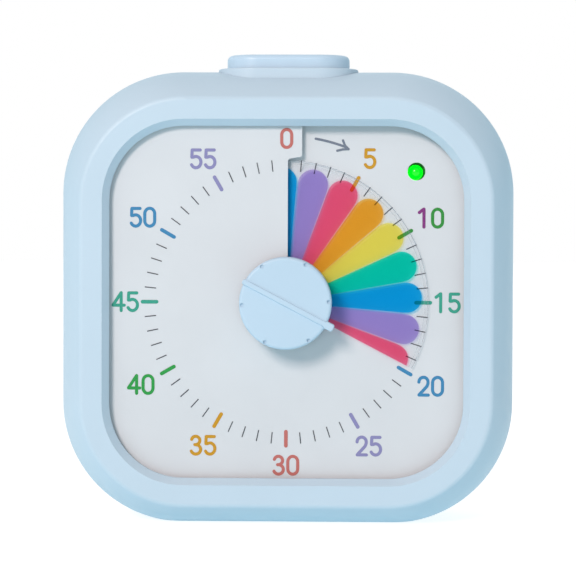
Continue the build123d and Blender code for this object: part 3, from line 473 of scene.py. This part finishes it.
for mark, (text, colour) in enumerate(NUMERALS):
    angle = NUMERAL_TURN * mark
    shift_x, shift_z = NUMERAL_SHIFTS.get(text, (0.0, 0.0))
    [(x, z)] = on_ray(angle, NUMERAL_RADII.get(text, NUMERAL_RADIUS))
    strokes = []
    for place, digit in enumerate(text):
        middle = x + shift_x + (place - (len(text) - 1) / 2) * DIGIT_STEP
        digit_shape = digit_strokes(digit, middle, z + shift_z)
        if text == "10" and place == 0:        # the first digit of 10 is purple
            print_on_dial("numeral_10_first", digit_shape, PURPLE)
        else:
            strokes += digit_shape
    print_on_dial(f"numeral_{text}", strokes, colour)
    if mark:
        bar = on_ray(angle, TICK_INNER, TICK_OUTER)
        print_on_dial(f"tick_{text}", [(bar, TICK_WIDTH, "round")], colour)

minute_strokes = []
for minute in range(360 // MINUTE_TURN):
    if MINUTE_TURN * minute % NUMERAL_TURN:
        bar = on_ray(MINUTE_TURN * minute, MINUTE_INNER, MINUTE_OUTER)
        minute_strokes.append((bar, MINUTE_WIDTH, "square"))
print_on_dial("minute_ticks", minute_strokes, INK)

ARROW_RADIUS = 32.3
ARROW_START, ARROW_END = 10, 21
ARROW_TIP = (12.0, 29.8)
ARROW_WIDTH, BARB_WIDTH = 0.48, 0.46
arrow_curve = [on_ray(angle, ARROW_RADIUS)[0] for angle in range(ARROW_START, ARROW_END + 1)]
arrow_strokes = [
    (arrow_curve + [ARROW_TIP], ARROW_WIDTH, "round"),
    ([(10.9, 31.5), (11.3, 30.5), ARROW_TIP], BARB_WIDTH, "round"),
    ([(9.8, 29.5), (10.9, 29.75), ARROW_TIP], BARB_WIDTH, "round"),
]
print_on_dial("arrow", arrow_strokes, ARROW_INK)


# ---------------------------------------------------------------- rainbow film
PETALS = 24
PETAL_TURN = 360 / PETALS
TIP_CENTRE = 23.45        # of the round end of each petal, from the film's centre
TIP_RADIUS = 2.98
SOFT_EDGE = 0.12          # over which the print fades at a petal's outline
SEAM = 0.16               # half of the pale line between petals
SEAM_FADE = (9.0, 20.0)   # radii between which that line comes up
SEAM_STRENGTH = 0.7
LINE_WIDTH = 0.12         # of the lines at the film's edge and just inside it
INNER_LINE = 26.9         # radius of the line inside
FILM_MARK = linear(160, 165, 173)      # of those lines and of what shows of the clear film
PRINT_BODY = 0.05         # share of the light that the petals' print scatters; the rest goes through, tinted
EDGE_BODY = 0.35          # the same for the line at the edge,
LINE_BODY = 0.12          # for the line inside it
CLEAR_BODY = 0.02         # and for the clear film
TINT_GAMMA = 0.5          # makes light that goes through the print paler than the print
FILM_STEPS = 360          # of the film's mesh round the shaft
FILM_RINGS = 24           # and outwards from it
PETAL_COLOURS = [
    linear(255, 90, 128), linear(171, 146, 221), linear(12, 168, 238),
    linear(6, 216, 184), linear(254, 234, 92), linear(255, 172, 48),
]


def film_material():
    """Clear film with a see-through ring of petals printed on its front.

    It works in the coordinates (turn from the leading edge, radius, 1 on the printed side).
    """
    s = Shader("rainbow_print", Specular_IOR_Level=0.06)
    polar = s.node("ShaderNodeAttribute", attribute_name="polar").outputs["Vector"]
    turn, radius, front = s.node("ShaderNodeSeparateXYZ", polar).outputs
    petal = s.math("ADD", s.math("DIVIDE", turn, PETAL_TURN), 0.5)
    number = s.math("FLOOR", petal)
    within = s.math("SUBTRACT", s.math("FRACT", petal), 0.5)
    angle = s.math("MULTIPLY", within, radians(PETAL_TURN))
    across = s.math("ABSOLUTE", s.math("MULTIPLY", radius, s.math("SINE", angle)))
    along = s.math("SUBTRACT", s.math("MULTIPLY", radius, s.math("COSINE", angle)), TIP_CENTRE)
    beyond = s.math("MAXIMUM", along, 0.0)
    from_tip = s.math("SQRT", s.math("ADD", s.math("POWER", across, 2.0), s.math("POWER", beyond, 2.0)))
    wedge_edge = s.math("MULTIPLY", radius, sin(radians(PETAL_TURN / 2)))
    to_side = s.math("SUBTRACT", wedge_edge, across)
    in_wedge = s.spread(to_side, 0.0, 1.0, 0.0, SOFT_EDGE)
    in_tip = s.spread(from_tip, 1.0, 0.0, TIP_RADIUS - SOFT_EDGE, TIP_RADIUS)
    below_tip = s.math("LESS_THAN", along, 0.0)
    printed = s.math("MULTIPLY", in_tip, s.math("MAXIMUM", in_wedge, below_tip))
    printed = s.math("MULTIPLY", printed, front)

    kinds = len(PETAL_COLOURS)
    ramp = s.node("ShaderNodeValToRGB", s.math("DIVIDE", s.math("MODULO", number, kinds), kinds))
    ramp.color_ramp.interpolation = "CONSTANT"
    stops = ramp.color_ramp.elements
    while len(stops) < kinds:
        stops.new(0.5)
    for index, colour in enumerate(PETAL_COLOURS):
        stops[index].position = max(index / kinds - 0.02, 0.0)     # just before the petal's own place
        stops[index].color = colour
    beside = s.spread(to_side, 1.0, 0.0, 0.0, SEAM)
    seam = s.math("MULTIPLY", beside, s.spread(radius, 0.0, SEAM_STRENGTH, *SEAM_FADE))
    petal_ink = s.mix(s.math("MULTIPLY", seam, below_tip), ramp.outputs[0], WHITE)

    from_line = s.math("ABSOLUTE", s.math("SUBTRACT", radius, INNER_LINE))
    line = s.math("LESS_THAN", from_line, LINE_WIDTH / 2)
    edge = s.math("GREATER_THAN", radius, FILM_RADIUS - LINE_WIDTH)
    marks = s.math("ADD", s.math("MULTIPLY", edge, EDGE_BODY), s.math("MULTIPLY", line, LINE_BODY))
    body = s.math("MAXIMUM", s.math("ADD", marks, CLEAR_BODY), s.math("MULTIPLY", printed, PRINT_BODY))

    where = s.coordinates()
    s.set("Base Color", s.mix(printed, FILM_MARK, petal_ink))
    s.set("Roughness", s.spread(s.noise(0.5, coordinates=where), 0.42, 0.5))
    s.set("Normal", s.bump(s.noise(2.5, coordinates=where), 0.002))
    tint = s.node("ShaderNodeGamma", petal_ink, TINT_GAMMA).outputs[0]
    through = s.node("ShaderNodeBsdfTransparent", s.mix(printed, WHITE, tint)).outputs[0]
    film_shader = s.node("ShaderNodeMixShader", body, through, s.shader.outputs[0]).outputs[0]
    s.feed(s.output.inputs["Surface"], film_shader)
    return s.material


def film_shape():
    """The film as a closed climbing sheet, finely divided so that its print stays crisp."""
    shape = bmesh.new()
    polar = shape.verts.layers.float_vector.new("polar")
    front, back = [], []
    for step in range(FILM_STEPS + 1):
        turned = FILM_ANGLE * step / FILM_STEPS
        angle = TIME_ANGLE - turned
        for sheet, lift, printed in ((front, FILM_LIFT + FILM_THICKNESS, 1), (back, FILM_LIFT, 0)):
            row = []
            for ring in range(FILM_RINGS + 1):
                radius = HUB_RADIUS + (FILM_RADIUS - HUB_RADIUS) * ring / FILM_RINGS
                [(x, z)] = on_ray(angle, radius)
                corner = shape.verts.new(Vector((x, DIAL_Y - lift - climb(angle), DIAL_HEIGHT + z)) * MM)
                corner[polar] = (turned, radius, printed)
                row.append(corner)
            sheet.append(row)
    for step in range(FILM_STEPS):
        near, far = front[step], back[step]
        next_near, next_far = front[step + 1], back[step + 1]
        for ring in range(FILM_RINGS):
            for row, next_row in ((near, next_near), (far, next_far)):
                shape.faces.new((row[ring], row[ring + 1], next_row[ring + 1], next_row[ring]))
        for ring in (0, FILM_RINGS):
            shape.faces.new((near[ring], next_near[ring], next_far[ring], far[ring]))
    for near, far in ((front[0], back[0]), (front[-1], back[-1])):
        for ring in range(FILM_RINGS):
            shape.faces.new((near[ring], near[ring + 1], far[ring + 1], far[ring]))
    bmesh.ops.recalc_face_normals(shape, faces=shape.faces)
    mesh = bpy.data.meshes.new("rainbow_film")
    shape.to_mesh(mesh)
    shape.free()
    return mesh


film = add_object("rainbow_film", film_shape(), film_material(), "film")
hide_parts("time_film")

# ---------------------------------------------------------------- stage
FLOOR_HALF = 3.0                              # half of the floor's side, in metres
FLOOR_SEEN = (0.4, 0.36, 0.34, 1.0)           # warm, so that with its glow and the cool world it shows white
FLOOR_SEEN_GLOW = 0.79
FLOOR_LIGHTING = (0.5, 0.5, 0.5, 1.0)         # of the floor as a light on the object
FLOOR_LIGHTING_GLOW = 0.55
GLOW_COLOUR = (0.4, 0.84, 1.0, 1.0)           # of that light
AMBIENT_FRONT = (0.34, 0.32, 0.34, 1.0)       # of the surroundings before the timer
AMBIENT_BACK = (0.68, 0.88, 0.96, 1.0)        # and behind it


def floor_material():
    """White where the camera, a reflection or clear plastic sees it; grey with a cool glow elsewhere."""
    s = Shader("floor", Roughness=0.9)
    path = s.node("ShaderNodeLightPath").outputs
    seen = s.math("MAXIMUM", path["Is Camera Ray"], path["Is Glossy Ray"])
    seen = s.math("MAXIMUM", seen, path["Is Transmission Ray"])
    s.set("Base Color", s.mix(seen, FLOOR_LIGHTING, FLOOR_SEEN))
    s.set("Emission Color", s.mix(seen, GLOW_COLOUR, WHITE))
    s.set("Emission Strength", s.spread(seen, FLOOR_LIGHTING_GLOW, FLOOR_SEEN_GLOW, 0.0, 1.0))
    return s.material


floor_mesh = bpy.data.meshes.new("floor")
corners = [(x * FLOOR_HALF, y * FLOOR_HALF, 0) for x, y in ((-1, -1), (1, -1), (1, 1), (-1, 1))]
floor_mesh.from_pydata(corners, [], [(0, 1, 2, 3)])
floor = bpy.data.objects.new("floor", floor_mesh)
bpy.context.scene.collection.objects.link(floor)
floor_mesh.materials.append(floor_material())

# The world is white where the camera sees it, also through clear plastic. Its light goes from one
# ambient colour in front to the other behind.
world = bpy.data.worlds.new("studio")
bpy.context.scene.world = world
world.use_nodes = True
tree = world.node_tree

axes = tree.nodes.new("ShaderNodeSeparateXYZ")
connect(tree, axes.inputs[0], tree.nodes.new("ShaderNodeTexCoord").outputs["Generated"])
behind = tree.nodes.new("ShaderNodeMapRange")
connect(tree, behind.inputs["Value"], axes.outputs["Y"])
connect(tree, behind.inputs["From Min"], -1.0)
path = tree.nodes.new("ShaderNodeLightPath")
seen = tree.nodes.new("ShaderNodeMath")
seen.operation = "MAXIMUM"
connect(tree, seen.inputs[0], path.outputs["Is Camera Ray"])
connect(tree, seen.inputs[1], path.outputs["Is Transmission Ray"])
surroundings = mix_colours(tree, behind.outputs[0], AMBIENT_FRONT, AMBIENT_BACK)
background = mix_colours(tree, seen.outputs[0], surroundings, WHITE)
connect(tree, tree.nodes["Background"].inputs["Color"], background)


# ---------------------------------------------------------------- lights and camera
def area_light(name, direction, distance, size, power, colour):
    """A soft square lamp that faces the timer from a direction; distance and size are in metres."""
    lamp = bpy.data.lights.new(name, "AREA")
    lamp.shape = "SQUARE"
    lamp.size = size
    lamp.energy = power
    lamp.color = colour
    holder = bpy.data.objects.new(name, lamp)
    bpy.context.scene.collection.objects.link(holder)
    towards = Vector(direction).normalized()
    holder.location = Vector((0, 0, DIAL_HEIGHT * MM)) + towards * distance
    holder.rotation_mode = "QUATERNION"
    holder.rotation_quaternion = towards.to_track_quat("Z", "Y")
    return holder


area_light(
    "key", direction=(-0.43, -1.0, 0.5), distance=2.2, size=0.6, power=29.5, colour=(1.0, 0.88, 0.84),
)
back_light = area_light(
    "back", direction=(0.1, 1.0, 0.5), distance=2.2, size=1.0, power=10.0, colour=(0.94, 0.94, 0.94),
)
back_light.visible_glossy = False       # or it would glare along the top edge in the front view

CAMERA_AZIMUTH = radians(1.6)
CAMERA_ELEVATION = radians(1.6)
CAMERA_ROLL = radians(0.19)
CAMERA_DISTANCE = 454.4
CAMERA_LENS = 145.7
AIM = (0.3, DIAL_Y, 46.2)

camera_data = bpy.data.cameras.new("camera")
camera_data.lens = CAMERA_LENS
camera_data.sensor_width = 36
camera_data.clip_start = 0.01
camera_data.clip_end = 20
camera = bpy.data.objects.new("camera", camera_data)
bpy.context.scene.collection.objects.link(camera)
towards_camera = Vector((
    sin(CAMERA_AZIMUTH) * cos(CAMERA_ELEVATION),
    -cos(CAMERA_AZIMUTH) * cos(CAMERA_ELEVATION),
    sin(CAMERA_ELEVATION),
))
camera.location = (Vector(AIM) + towards_camera * CAMERA_DISTANCE) * MM
camera.rotation_mode = "QUATERNION"
look = (-towards_camera).to_track_quat("-Z", "Y")
camera.rotation_quaternion = look @ Matrix.Rotation(CAMERA_ROLL, 3, "Z").to_quaternion()
bpy.context.scene.camera = camera

bpy.context.scene.view_settings.view_transform = "Standard"
